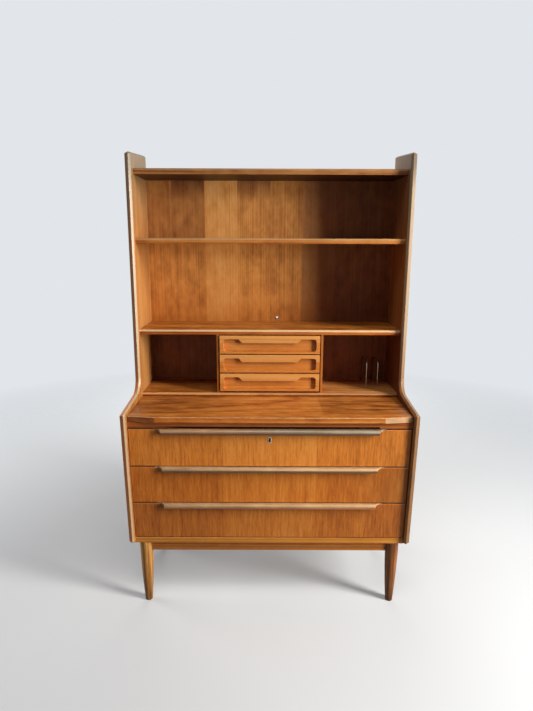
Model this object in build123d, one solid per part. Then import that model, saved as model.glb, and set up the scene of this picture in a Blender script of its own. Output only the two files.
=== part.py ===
from build123d import *
import os

# A teak secretary desk: two one-piece sides carry a hutch with shelves and three small drawers,
# a writing slide and three wide drawers, on a frame of turned legs.
# Lengths are in millimetres. X runs to the right, Z up, and the front faces -Y.
# A depth is measured forward from the back edge of the sides.

# Side panels
WIDTH = 1000.0
SIDE_THICKNESS = 20.0
BASE_DEPTH = 441.0
LIP_DEPTH = 478.0
HUTCH_DEPTH = 244.0
LIP_RISE = 9.0
ARM_RISE = 22.0
HORN_RISE = 50.0
HORN_SLOPE = 21.0
HOLLOW_RADIUS = 50.0
FOOT_RADIUS = 14.0
LIP_RADIUS = 6.0
HORN_RADIUS = 8.0
BEVEL_DEPTH = 5.5
RIDGE_INSET = 7.5
RIDGE_WIDTH = 1.0

# Boards between the sides, with their ends let into the sides
HOUSING = 6.0
BOTTOM_THICKNESS = 22.0
RAIL_HEIGHT = 21.0
RAIL_THICKNESS = 24.0
FLOOR_THICKNESS = 13.0
SHELF_THICKNESS = 18.0
TOP_THICKNESS = 20.0
SHELF_SETBACK = 18.0
TOP_SETBACK = 32.0
SHELF_BEVEL = 3.5
SHELF_RIDGE_DROP = 6.5
MIDDLE_BAY = 311.0
UPPER_BAY = 218.0
BACK_THICKNESS = 6.0
BACK_INSET = 2.0
BACK_RABBET = 10.0
EYELET_X = 30.0
EYELET_RISE = 16.0
EYELET_BORE = 8.0
EYELET_WALL = 0.8
EYELET_FLANGE = 1.8
EYELET_LIP = 1.0

# Turned legs and the frame that joins them
LEG_HEIGHT = 244.0
LEG_TOP_DIAMETER = 48.0
LEG_FOOT_DIAMETER = 26.0
LEG_SWELL = 2.1
LEG_SIDE_INSET = 53.0
LEG_FRONT_INSET = 38.0
LEG_BACK_INSET = 55.0
APRON_HEIGHT = 38.0
APRON_THICKNESS = 18.0
TENON_GAP = 3.0

# Writing slide
SLIDE_THICKNESS = 20.0
SLIDE_CLEARANCE = 1.0
SLIDE_SIDE_GAP = 1.5
SLIDE_SETBACK = 5.0
SLIDE_CORNER_DEPTH = 13.0
SLIDE_CORNER_LENGTH = 94.0
LIPPING_DEPTH = 30.0
LIPPING_ROUND = 1.8
SLIDE_BACK_GAP = 12.0
SLIDE_RUN_LENGTH = 180.0
SLIDE_RUNNER_WIDTH = 20.0
SLIDE_RUNNER_HEIGHT = 18.0
STOP_WIDTH = 40.0
STOP_LENGTH = 30.0
STOP_HEIGHT = 13.0
STOP_X = 300.0

# Wide drawers
DRAWER_HEIGHT = 138.0
DRAWER_GAP = 2.5
DRAWER_SIDE_GAP = 2.0
FRONT_RECESS = 14.0
FRONT_THICKNESS = 18.0
BOX_SIDE_GAP = 5.0
BOX_WALL = 13.0
BOX_LIFT = 6.0
BOX_DROP = 28.0
BOX_BACK_GAP = 30.0
BOX_BASE = 5.0
BASE_LIFT = 8.0
RUNNER_HEIGHT = 12.0
RUNNER_GROOVE = 6.0
RUNNER_CLEARANCE = 0.5
TAIL_COUNT = 3
TAIL_LENGTH = 11.0
TAIL_WIDTH = 22.0
TAIL_FLARE = 2.5

# Lip handles along the top of the wide drawers
STRIP_HEIGHT = 4.0
PULL_REACH = 17.0
PULL_HEIGHT = 18.0
PULL_LENGTH = 735.0
PULL_RUNOUT = 26.0
PULL_RUNOUT_SAG = 4.0
PULL_NOSE = 8.0
PULL_TIP = 6.0
PULL_GRIP = 8.0
PULL_ROOT = 8.0
PULL_HOLLOW = 3.0

# Lock of the top drawer
LOCK_WIDTH = 56.0
LOCK_HEIGHT = 40.0
LOCK_DEPTH = 11.0
LOCK_DROP = 40.0
BOLT_WIDTH = 20.0
BOLT_THICKNESS = 4.0
BOLT_LENGTH = 30.0
BOLT_DROP = 1.5
BOLT_RISE = 9.0
BOLT_CLEARANCE = 0.4
PLATE_ROUND = 13.5
PLATE_FOOT_WIDTH = 10.5
PLATE_HEIGHT = 21.0
PLATE_DEPTH = 5.0
PLATE_LIP = 0.8
KEY_HOLE = 5.6
KEY_SLOT_WIDTH = 3.4
KEY_SLOT_DROP = 12.0

# Small drawers between two dividers
SMALL_WIDTH = 372.0
SMALL_HEIGHT = 67.5
SMALL_GAP = 4.5
SMALL_LIFT = 7.0
SMALL_HEADROOM = 3.5
SMALL_SIDE_GAP = 3.5
SMALL_FRONT_THICKNESS = 18.0
SMALL_BOX_GAP = 5.5
SMALL_WALL = 8.0
SMALL_BOX_LIFT = 4.0
SMALL_BOX_DROP = 12.0
SMALL_BACK_GAP = 12.0
SMALL_BASE = 4.0
SMALL_BASE_LIFT = 4.0
SMALL_RUNNER_HEIGHT = 7.0
SMALL_RUNNER_GROOVE = 4.0
SMALL_TAIL_COUNT = 2
SMALL_TAIL_LENGTH = 10.0
SMALL_TAIL_WIDTH = 14.0
DIVIDER_THICKNESS = 8.0
DIVIDER_SETBACK = 4.0
DIVIDER_HOUSING = 4.0
POCKET_SIDE = 13.5
POCKET_TOP = 13.5
POCKET_BOTTOM = 8.0
POCKET_DEPTH = 11.0
POCKET_RADIUS = 10.0
HANG_LENGTH = 231.0
HANG_SLANT = 12.0
HANG_DROP = 14.0
HANG_THICKNESS = 5.0
HANG_RADIUS = 5.0

# Letter hoops of bent wire
HOOP_WIRE = 4.0
HOOP_SIDE_INSET = 53.0
HOOP_PITCH = 44.0
HOOP_FRONT_DEPTH = 115.0
HOOP_BACK_DEPTH = 30.0
HOOP_SKEW = 6.0
HOOP_RISE = 102.0
HOOP_BEND = 20.0
HOOP_SINK = 8.0

# Heights worked out from the bottom board up
bottom_top = LEG_HEIGHT + BOTTOM_THICKNESS
drawer_pitch = DRAWER_HEIGHT + DRAWER_GAP
drawer_lows = [bottom_top + DRAWER_GAP + row * drawer_pitch for row in range(3)]
rail_low = drawer_lows[2] + drawer_pitch
rail_top = rail_low + RAIL_HEIGHT
slide_low = rail_top + SLIDE_CLEARANCE
slide_top = slide_low + SLIDE_THICKNESS
floor_low = slide_top + SLIDE_CLEARANCE
floor_top = floor_low + FLOOR_THICKNESS
small_pitch = SMALL_HEIGHT + SMALL_GAP
small_lows = [floor_top + SMALL_LIFT + row * small_pitch for row in range(3)]
lower_shelf_low = small_lows[2] + SMALL_HEIGHT + SMALL_HEADROOM
lower_shelf_top = lower_shelf_low + SHELF_THICKNESS
upper_shelf_low = lower_shelf_top + MIDDLE_BAY
upper_shelf_top = upper_shelf_low + SHELF_THICKNESS
top_low = upper_shelf_top + UPPER_BAY
top_top = top_low + TOP_THICKNESS
lip_height = slide_top + LIP_RISE
arm_height = lip_height + ARM_RISE
horn_front = top_top + HORN_RISE
horn_back = horn_front + HORN_SLOPE

# Widths and depths that several pieces share
inner = WIDTH / 2 - SIDE_THICKNESS
board_end = inner + HOUSING
back_face = BACK_INSET + BACK_THICKNESS
shelf_front = HUTCH_DEPTH - SHELF_SETBACK
slide_front = LIP_DEPTH - SLIDE_SETBACK
slide_back = back_face + SLIDE_BACK_GAP
front_half = inner - DRAWER_SIDE_GAP
small_half = SMALL_WIDTH / 2
divider_inner = small_half + SMALL_SIDE_GAP
divider_outer = divider_inner + DIVIDER_THICKNESS
small_face_depth = shelf_front
lean_rate = (LIP_DEPTH - BASE_DEPTH) / (lip_height - LEG_HEIGHT)

ROWS = ("bottom", "middle", "top")
nodes = {}


def place_y(depth):
    """Y of a point that lies this far forward of the back edge."""
    return LIP_DEPTH / 2 - depth


def face_depth(z):
    """Depth of the leaning face that the wide drawers, the rail and the bottom board share."""
    return LIP_DEPTH - (lip_height - z) * lean_rate - FRONT_RECESS


def small_face(z):
    """Depth of the upright face of the small drawers."""
    return small_face_depth


def block(x_low, x_high, depth_low, depth_high, z_low, z_high):
    """Plain block between the given limits."""
    centre = Pos(
        (x_low + x_high) / 2,
        place_y((depth_low + depth_high) / 2),
        (z_low + z_high) / 2,
    )
    return centre * Box(x_high - x_low, depth_high - depth_low, z_high - z_low)


def spot(x, depth, z):
    """Point in space from its place across, its depth and its height."""
    return (x, place_y(depth), z)


def section(points, x_low, x_high):
    """Board with a straight-sided outline of (depth, height) points, from x_low to x_high."""
    outline = Polyline([spot(x_low, depth, z) for depth, z in points], close=True)
    return extrude(make_face(outline), amount=x_high - x_low, dir=(1, 0, 0))


def mirrored(solid):
    """The same piece on the other side of the desk."""
    return mirror(solid, about=Plane.YZ)


def keep(name, *solids):
    """Store a node, made of one or several separate solids."""
    nodes[name] = [solid.solid() for solid in solids]


def ridged_board(half_length, depth_back, depth_front, z_low, thickness):
    """Shelf whose front edge has two shallow bevels that meet in a narrow ridge."""
    z_high = z_low + thickness
    ridge_high = z_high - SHELF_RIDGE_DROP
    ridge_low = ridge_high - RIDGE_WIDTH
    bevel_start = depth_front - SHELF_BEVEL
    outline = [
        (depth_back, z_low),
        (bevel_start, z_low),
        (depth_front, ridge_low),
        (depth_front, ridge_high),
        (bevel_start, z_high),
        (depth_back, z_high),
    ]
    return section(outline, -half_length, half_length)


# Boards of the carcass
top_board = ridged_board(board_end, back_face, HUTCH_DEPTH - TOP_SETBACK, top_low, TOP_THICKNESS)
upper_shelf = ridged_board(board_end, back_face, shelf_front, upper_shelf_low, SHELF_THICKNESS)
lower_shelf = ridged_board(board_end, back_face, shelf_front, lower_shelf_low, SHELF_THICKNESS)
hutch_floor = ridged_board(board_end, back_face, shelf_front, floor_low, FLOOR_THICKNESS)
bottom_outline = [
    (back_face, LEG_HEIGHT),
    (face_depth(LEG_HEIGHT), LEG_HEIGHT),
    (face_depth(bottom_top), bottom_top),
    (back_face, bottom_top),
]
bottom_board = section(bottom_outline, -board_end, board_end)
rail_outline = [
    (face_depth(rail_low) - RAIL_THICKNESS, rail_low),
    (face_depth(rail_low), rail_low),
    (face_depth(rail_top), rail_top),
    (face_depth(rail_low) - RAIL_THICKNESS, rail_top),
]
front_rail = section(rail_outline, -board_end, board_end)
rail_back = face_depth(rail_low) - RAIL_THICKNESS

# Back panels, which meet behind the hutch floor and sit in rabbets of the sides
panel_split = floor_low + FLOOR_THICKNESS / 2
panel_end = inner + BACK_RABBET
back_upper = block(-panel_end, panel_end, BACK_INSET, back_face, panel_split, top_top)
back_lower = block(-panel_end, panel_end, BACK_INSET, back_face, LEG_HEIGHT, panel_split)
rabbet = block(inner, panel_end, 0, back_face, LEG_HEIGHT, top_top)

# Cord eyelet: a thin metal ring through the upper back panel, with a flange at the front
eyelet_spot = spot(EYELET_X, back_face, lower_shelf_top + EYELET_RISE)
eyelet_plane = Plane(origin=eyelet_spot, x_dir=(1, 0, 0), z_dir=(0, -1, 0))
barrel_radius = EYELET_BORE / 2 + EYELET_WALL
eyelet_barrel = eyelet_plane * extrude(Circle(barrel_radius), amount=-BACK_THICKNESS)
eyelet_flange = eyelet_plane * extrude(Circle(barrel_radius + EYELET_FLANGE), amount=EYELET_LIP)
eyelet_bore = eyelet_plane * extrude(Circle(EYELET_BORE / 2), amount=BACK_THICKNESS, both=True)
back_upper -= eyelet_barrel
keep("cord_eyelet", eyelet_barrel + eyelet_flange - eyelet_bore)

# Dividers of the small drawers, let into the hutch floor and the lower shelf
divider_right = block(
    divider_inner,
    divider_outer,
    back_face,
    shelf_front - DIVIDER_SETBACK,
    floor_top - DIVIDER_HOUSING,
    lower_shelf_low + DIVIDER_HOUSING,
)
divider_left = mirrored(divider_right)
hutch_floor = hutch_floor - divider_right - divider_left
lower_shelf = lower_shelf - divider_right - divider_left

# Letter hoops: bent wire standing in holes of the hutch floor
hoops = []
for hoop_x in (inner - HOOP_SIDE_INSET - HOOP_PITCH, inner - HOOP_SIDE_INSET):
    back_x = hoop_x - HOOP_SKEW
    hoop_path = FilletPolyline(
        spot(hoop_x, HOOP_FRONT_DEPTH, floor_top - HOOP_SINK),
        spot(hoop_x, HOOP_FRONT_DEPTH, floor_top + HOOP_RISE),
        spot(back_x, HOOP_BACK_DEPTH, floor_top + HOOP_RISE),
        spot(back_x, HOOP_BACK_DEPTH, floor_top - HOOP_SINK),
        radius=HOOP_BEND,
    )
    hoop = sweep(Plane(hoop_path @ 0, z_dir=hoop_path % 0) * Circle(HOOP_WIRE / 2), path=hoop_path)
    for wire_x, wire_depth in ((hoop_x, HOOP_FRONT_DEPTH), (back_x, HOOP_BACK_DEPTH)):
        hole = Pos(*spot(wire_x, wire_depth, floor_top)) * Cylinder(HOOP_WIRE / 2, 2 * HOOP_SINK)
        hutch_floor -= hole
    hoops.append(hoop)
keep("letter_hoop_left", hoops[0])
keep("letter_hoop_right", hoops[1])

# Side panels: one sawn outline from foot to horn, with two bevels along every edge but the back
side_corners = [
    (spot(inner, 0, LEG_HEIGHT), None),
    (spot(inner, BASE_DEPTH, LEG_HEIGHT), FOOT_RADIUS),
    (spot(inner, LIP_DEPTH, lip_height), LIP_RADIUS),
    (spot(inner, HUTCH_DEPTH, arm_height), HOLLOW_RADIUS),
    (spot(inner, HUTCH_DEPTH, horn_front), HORN_RADIUS),
    (spot(inner, 0, horn_back), None),
]
side_face = make_face(Polyline([corner for corner, radius in side_corners], close=True))
for corner, radius in side_corners:
    if radius:
        side_face = fillet(side_face.vertices().sort_by_distance(corner)[0], radius)
side_right = extrude(side_face, amount=SIDE_THICKNESS, dir=(1, 0, 0))
outer_bevel = SIDE_THICKNESS - RIDGE_INSET - RIDGE_WIDTH
for side_x, bevel_width in ((inner, RIDGE_INSET), (inner + SIDE_THICKNESS, outer_bevel)):
    broad_face = side_right.faces().filter_by(Axis.X).sort_by_distance((side_x, 0, lip_height))[0]
    rim = [edge for edge in broad_face.edges() if edge.center().Y < place_y(0) - BEVEL_DEPTH]
    side_right = side_right.chamfer(BEVEL_DEPTH, bevel_width, rim, face=broad_face)
for board in (top_board, upper_shelf, lower_shelf, hutch_floor, bottom_board, front_rail, rabbet):
    side_right = side_right - board
keep("side_panel_right", side_right)
keep("side_panel_left", mirrored(side_right))
keep("top_board", top_board)
keep("upper_shelf", upper_shelf)
keep("lower_shelf", lower_shelf)
keep("hutch_floor", hutch_floor)
keep("bottom_board", bottom_board)
keep("back_panel_upper", back_upper)
keep("back_panel_lower", back_lower)
keep("divider_left", divider_left)
keep("divider_right", divider_right)

# Leg frame: four aprons whose ends are let into the turned legs
leg_x = WIDTH / 2 - LEG_SIDE_INSET
leg_depths = {"front": BASE_DEPTH - LEG_FRONT_INSET, "back": LEG_BACK_INSET}
apron_low = LEG_HEIGHT - APRON_HEIGHT
half_apron = APRON_THICKNESS / 2
tenon_stop = half_apron + TENON_GAP
aprons = {}
for name, depth in leg_depths.items():
    reach = leg_x - tenon_stop
    aprons[name] = block(-reach, reach, depth - half_apron, depth + half_apron, apron_low, LEG_HEIGHT)
aprons["right"] = block(
    leg_x - half_apron,
    leg_x + half_apron,
    leg_depths["back"] + tenon_stop,
    leg_depths["front"] - tenon_stop,
    apron_low,
    LEG_HEIGHT,
)
aprons["left"] = mirrored(aprons["right"])
leg_top = LEG_TOP_DIAMETER / 2
leg_foot = LEG_FOOT_DIAMETER / 2
leg_curve = ThreePointArc(
    (leg_foot, 0, 0),
    ((leg_top + leg_foot) / 2 + LEG_SWELL, 0, LEG_HEIGHT / 2),
    (leg_top, 0, LEG_HEIGHT),
)
leg_outline = leg_curve + Polyline(
    (leg_top, 0, LEG_HEIGHT), (0, 0, LEG_HEIGHT), (0, 0, 0), (leg_foot, 0, 0)
)
turned_leg = revolve(make_face(leg_outline), axis=Axis.Z)
for name, depth in leg_depths.items():
    for hand, x in (("left", -leg_x), ("right", leg_x)):
        leg = Pos(x, place_y(depth), 0) * turned_leg
        keep(f"leg_{name}_{hand}", leg - aprons[name] - aprons[hand])
for name, apron in aprons.items():
    keep(f"apron_{name}", apron)

# Runners screwed to the sides: two under the writing slide, one on each side of a wide drawer
slide_runner = block(
    inner - SLIDE_RUNNER_WIDTH,
    inner,
    slide_back,
    rail_back,
    rail_top - SLIDE_RUNNER_HEIGHT,
    rail_top,
)
keep("slide_runners", slide_runner, mirrored(slide_runner))


def runner_pair(outer, reach, height, mid_z, depth_low, depth_high):
    """Left and right strips that a drawer's grooved sides run on."""
    strip = block(outer - reach, outer, depth_low, depth_high, mid_z - height / 2, mid_z + height / 2)
    return [strip, mirrored(strip)]


def tailed_side(depth_back, face, front_thickness, z_low, z_high, tail_count, tail_length, tail_width):
    """Outline of a drawer side whose front end is cut in dovetails for the drawer front."""
    outline = [(depth_back, z_high), (depth_back, z_low)]
    pitch = (z_high - z_low) / tail_count

    def end(z, reach):
        return (face(z) - front_thickness + reach, z)

    outline.append(end(z_low, 0))
    for tail in range(tail_count):
        middle = z_low + (tail + 0.5) * pitch
        root = tail_width / 2 - TAIL_FLARE
        outline.append(end(middle - root, 0))
        outline.append(end(middle - tail_width / 2, tail_length))
        outline.append(end(middle + tail_width / 2, tail_length))
        outline.append(end(middle + root, 0))
    outline.append(end(z_high, 0))
    return outline


def drawer_box(side_outline, box_half, wall, depth_back, base_low, base_high, base_front, top, groove):
    """Sides, back and base of a drawer; groove is the block cut along the right side's outer face."""
    base_reach = box_half - wall / 2
    base = block(-base_reach, base_reach, depth_back, base_front, base_low, base_high)
    side = section(side_outline, box_half - wall, box_half) - groove - base
    back = block(wall - box_half, box_half - wall, depth_back, depth_back + wall, base_high, top)
    return [side, mirrored(side)], back, base


# Lock parts of the top drawer, which stand behind the keyhole plate
top_low_z = drawer_lows[2]
top_high_z = top_low_z + DRAWER_HEIGHT
key_z = top_high_z - LOCK_DROP
lock_low = key_z - LOCK_HEIGHT / 2
lock_high = key_z + LOCK_HEIGHT / 2
lock_outline = [
    (face_depth(lock_low) - FRONT_THICKNESS, lock_low),
    (face_depth(lock_low) - FRONT_THICKNESS + LOCK_DEPTH, lock_low),
    (face_depth(lock_high) - FRONT_THICKNESS + LOCK_DEPTH, lock_high),
    (face_depth(lock_high) - FRONT_THICKNESS, lock_high),
]
lock_body = section(lock_outline, -LOCK_WIDTH / 2, LOCK_WIDTH / 2)
bolt_depth = face_depth(lock_high) - FRONT_THICKNESS + LOCK_DEPTH / 2
bolt_high = top_high_z - BOLT_DROP
half_bolt = BOLT_THICKNESS / 2
lock_bolt = block(
    -BOLT_WIDTH / 2,
    BOLT_WIDTH / 2,
    bolt_depth - half_bolt,
    bolt_depth + half_bolt,
    bolt_high - BOLT_LENGTH,
    bolt_high,
)
bolt_way = block(
    -BOLT_WIDTH / 2 - BOLT_CLEARANCE,
    BOLT_WIDTH / 2 + BOLT_CLEARANCE,
    bolt_depth - half_bolt - BOLT_CLEARANCE,
    bolt_depth + half_bolt + BOLT_CLEARANCE,
    bolt_high - BOLT_LENGTH - BOLT_CLEARANCE,
    bolt_high + BOLT_RISE + BOLT_CLEARANCE,
)
key_spot = spot(0, face_depth(key_z), key_z)
key_plane = Plane(origin=key_spot, x_dir=(1, 0, 0), z_dir=(0, -1, -lean_rate))
key_rise = (PLATE_HEIGHT - PLATE_ROUND) / 2
key_slot = Rectangle(KEY_SLOT_WIDTH, KEY_SLOT_DROP, align=(Align.CENTER, Align.MAX))
key_shape = Pos(0, key_rise) * (Circle(KEY_HOLE / 2) + key_slot)
key_way = key_plane * extrude(key_shape, amount=FRONT_THICKNESS, both=True)
plate_foot = Rectangle(PLATE_FOOT_WIDTH, PLATE_HEIGHT - PLATE_ROUND / 2, align=(Align.CENTER, Align.MAX))
plate_shape = Pos(0, key_rise) * (Circle(PLATE_ROUND / 2) + plate_foot)
plate_shank = key_plane * extrude(plate_shape, amount=-PLATE_DEPTH)
plate_rim = key_plane * extrude(plate_shape, amount=PLATE_LIP)
keep("lock_case", lock_body - bolt_way - key_way)
keep("lock_bolt", lock_bolt)
keep("keyhole_plate", plate_shank + plate_rim - key_way)
keep("front_rail", front_rail - bolt_way)


def handle(z_top):
    """Lip handle: a strip along the drawer's top edge whose long middle part is carved as a grip.

    The grip is one cross-section carried along the drawer, cut at both ends by a
    hollow run-out that is seen from the front and from above.
    """

    def at(forward, down):
        z = z_top - down
        return spot(0, face_depth(z) + forward, z)

    diagonal = 0.5**0.5
    nose = PULL_NOSE * diagonal
    tip = PULL_TIP * diagonal
    nose_back = PULL_REACH - PULL_NOSE
    tip_back = PULL_REACH - PULL_TIP
    tip_up = PULL_HEIGHT - PULL_TIP
    hollow_mid = at((PULL_REACH - PULL_GRIP) / 2 + PULL_HOLLOW, (PULL_HEIGHT + PULL_ROOT) / 2 - PULL_HOLLOW)
    cross = [
        Line(at(0, 0), at(nose_back, 0)),
        ThreePointArc(at(nose_back, 0), at(nose_back + nose, PULL_NOSE - nose), at(PULL_REACH, PULL_NOSE)),
        Line(at(PULL_REACH, PULL_NOSE), at(PULL_REACH, tip_up)),
        ThreePointArc(at(PULL_REACH, tip_up), at(tip_back + tip, tip_up + tip), at(tip_back, PULL_HEIGHT)),
        Line(at(tip_back, PULL_HEIGHT), at(PULL_REACH - PULL_GRIP, PULL_HEIGHT)),
        ThreePointArc(at(PULL_REACH - PULL_GRIP, PULL_HEIGHT), hollow_mid, at(0, PULL_ROOT)),
        Line(at(0, PULL_ROOT), at(0, 0)),
    ]
    half_low = PULL_LENGTH / 2
    half_high = half_low + PULL_RUNOUT
    grip = extrude(make_face(cross), amount=half_high, dir=(1, 0, 0), both=True)

    # The hollow ends: both outlines narrow from the full length at the root to the grip's own length
    z_low = z_top - PULL_HEIGHT
    z_root = z_top - STRIP_HEIGHT
    root_y = place_y(min(face_depth(z_low), face_depth(z_top)))
    nose_y = place_y(max(face_depth(z_low), face_depth(z_top)) + PULL_REACH)
    run_x = (half_low + half_high) / 2 - PULL_RUNOUT_SAG
    front_view = [
        Line((-half_high, nose_y, z_top), (half_high, nose_y, z_top)),
        Line((half_high, nose_y, z_top), (half_high, nose_y, z_root)),
        ThreePointArc(
            (half_high, nose_y, z_root),
            (run_x, nose_y, (z_low + z_root) / 2 + PULL_RUNOUT_SAG),
            (half_low, nose_y, z_low),
        ),
        Line((half_low, nose_y, z_low), (-half_low, nose_y, z_low)),
        ThreePointArc(
            (-half_low, nose_y, z_low),
            (-run_x, nose_y, (z_low + z_root) / 2 + PULL_RUNOUT_SAG),
            (-half_high, nose_y, z_root),
        ),
        Line((-half_high, nose_y, z_root), (-half_high, nose_y, z_top)),
    ]
    plan_view = [
        Line((-half_high, root_y, z_low), (half_high, root_y, z_low)),
        ThreePointArc(
            (half_high, root_y, z_low),
            (run_x, (root_y + nose_y) / 2 + PULL_RUNOUT_SAG, z_low),
            (half_low, nose_y, z_low),
        ),
        Line((half_low, nose_y, z_low), (-half_low, nose_y, z_low)),
        ThreePointArc(
            (-half_low, nose_y, z_low),
            (-run_x, (root_y + nose_y) / 2 + PULL_RUNOUT_SAG, z_low),
            (-half_high, root_y, z_low),
        ),
    ]
    front_prism = extrude(make_face(front_view), amount=2 * PULL_REACH, dir=(0, 1, 0))
    plan_prism = extrude(make_face(plan_view), amount=PULL_HEIGHT, dir=(0, 0, 1))
    grip = grip & front_prism & plan_prism
    strip_outline = [
        (face_depth(z_root) - FRONT_THICKNESS, z_root),
        (face_depth(z_root), z_root),
        (face_depth(z_top), z_top),
        (face_depth(z_top) - FRONT_THICKNESS, z_top),
    ]
    return section(strip_outline, -front_half, front_half) + grip


# Wide drawers, from the bottom one up
box_half = inner - BOX_SIDE_GAP
box_back = back_face + BOX_BACK_GAP
drawer_runners = []
for row, z_low in zip(ROWS, drawer_lows):
    z_high = z_low + DRAWER_HEIGHT
    strip_low = z_high - STRIP_HEIGHT
    front_outline = [
        (face_depth(z_low) - FRONT_THICKNESS, z_low),
        (face_depth(z_low), z_low),
        (face_depth(strip_low), strip_low),
        (face_depth(strip_low) - FRONT_THICKNESS, strip_low),
    ]
    front = section(front_outline, -front_half, front_half)
    grip_strip = handle(z_high)
    box_low = z_low + BOX_LIFT
    box_high = z_high - BOX_DROP
    box_mid = (box_low + box_high) / 2
    base_low = box_low + BASE_LIFT
    base_high = base_low + BOX_BASE
    front_back = face_depth(z_low) - FRONT_THICKNESS
    runners = runner_pair(
        inner,
        BOX_SIDE_GAP + RUNNER_GROOVE - RUNNER_CLEARANCE,
        RUNNER_HEIGHT,
        box_mid,
        box_back,
        front_back - BOX_SIDE_GAP,
    )
    groove_half = RUNNER_HEIGHT / 2 + RUNNER_CLEARANCE
    groove = block(
        box_half - RUNNER_GROOVE,
        box_half,
        box_back,
        front_back,
        box_mid - groove_half,
        box_mid + groove_half,
    )
    outline = tailed_side(
        box_back, face_depth, FRONT_THICKNESS, box_low, box_high, TAIL_COUNT, TAIL_LENGTH, TAIL_WIDTH
    )
    base_front = front_back + TAIL_LENGTH / 2
    sides, back, base = drawer_box(
        outline, box_half, BOX_WALL, box_back, base_low, base_high, base_front, box_high, groove
    )
    front = front - sides[0] - sides[1] - base
    if row == "top":
        front = front - lock_body - bolt_way - plate_shank - key_way
        grip_strip = grip_strip - bolt_way
    drawer_runners += runners
    keep(f"drawer_front_{row}", front)
    keep(f"drawer_handle_{row}", grip_strip)
    keep(f"drawer_sides_{row}", *sides)
    keep(f"drawer_back_{row}", back)
    keep(f"drawer_base_{row}", base)
keep("drawer_runners", *drawer_runners)

# Writing slide: a veneered panel, a solid lipping with cut-off corners and two stops below
slide_half = inner - SLIDE_SIDE_GAP
lipping_back = slide_front - SLIDE_CORNER_DEPTH - LIPPING_DEPTH
slide_panel = block(-slide_half, slide_half, slide_back, lipping_back, slide_low, slide_top)
corner_x = slide_half - SLIDE_CORNER_LENGTH
corner_depth = slide_front - SLIDE_CORNER_DEPTH
lipping_plan = Polyline(
    spot(-slide_half, lipping_back, slide_low),
    spot(-slide_half, corner_depth, slide_low),
    spot(-corner_x, slide_front, slide_low),
    spot(corner_x, slide_front, slide_low),
    spot(slide_half, corner_depth, slide_low),
    spot(slide_half, lipping_back, slide_low),
    close=True,
)
slide_lipping = extrude(make_face(lipping_plan), amount=SLIDE_THICKNESS, dir=(0, 0, 1))
front_edges = [
    edge
    for edge in slide_lipping.edges().filter_by(Axis.Z, reverse=True)
    if edge.center().Y < place_y(corner_depth)
]
slide_lipping = fillet(front_edges, LIPPING_ROUND)
stop_front = rail_back - SLIDE_RUN_LENGTH - SLIDE_CLEARANCE
slide_stop = block(
    STOP_X - STOP_WIDTH / 2,
    STOP_X + STOP_WIDTH / 2,
    stop_front - STOP_LENGTH,
    stop_front,
    slide_low - STOP_HEIGHT,
    slide_low,
)
keep("slide_panel", slide_panel)
keep("slide_lipping", slide_lipping)
keep("slide_stops", slide_stop, mirrored(slide_stop))


def pocket_cut(z_low):
    """Finger pocket of a small drawer front: a rounded recess with a tongue hanging in its mouth.

    Behind the tongue the recess runs on up, so that fingers hook over it from below.
    """
    z_high = z_low + SMALL_HEIGHT
    half = small_half - POCKET_SIDE
    low = z_low + POCKET_BOTTOM
    high = z_high - POCKET_TOP
    hang_low = high - HANG_DROP
    hang_top = HANG_LENGTH / 2
    hang_end = hang_top - HANG_SLANT
    between = (hang_top + half) / 2
    face_y = place_y(small_face_depth)
    recess = [(-half, low), (half, low), (half, high), (-half, high)]
    mouth = [
        (-half, low),
        (half, low),
        (half, high),
        (hang_top, high),
        (hang_end, hang_low),
        (-hang_end, hang_low),
        (-hang_top, high),
        (-half, high),
    ]
    cuts = []
    for outline, near, far in ((recess, HANG_THICKNESS, POCKET_DEPTH), (mouth, 0, HANG_THICKNESS)):
        flat = make_face(Polyline([(x, face_y + near, z) for x, z in outline], close=True))
        outer = [corner for corner in flat.vertices() if abs(corner.X) > between]
        flat = fillet(outer, POCKET_RADIUS)
        hung = [corner for corner in flat.vertices() if abs(corner.X) < between]
        if hung:
            flat = fillet(hung, HANG_RADIUS)
        cuts.append(extrude(flat, amount=far - near, dir=(0, 1, 0)))
    return cuts[0] + cuts[1]


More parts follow.
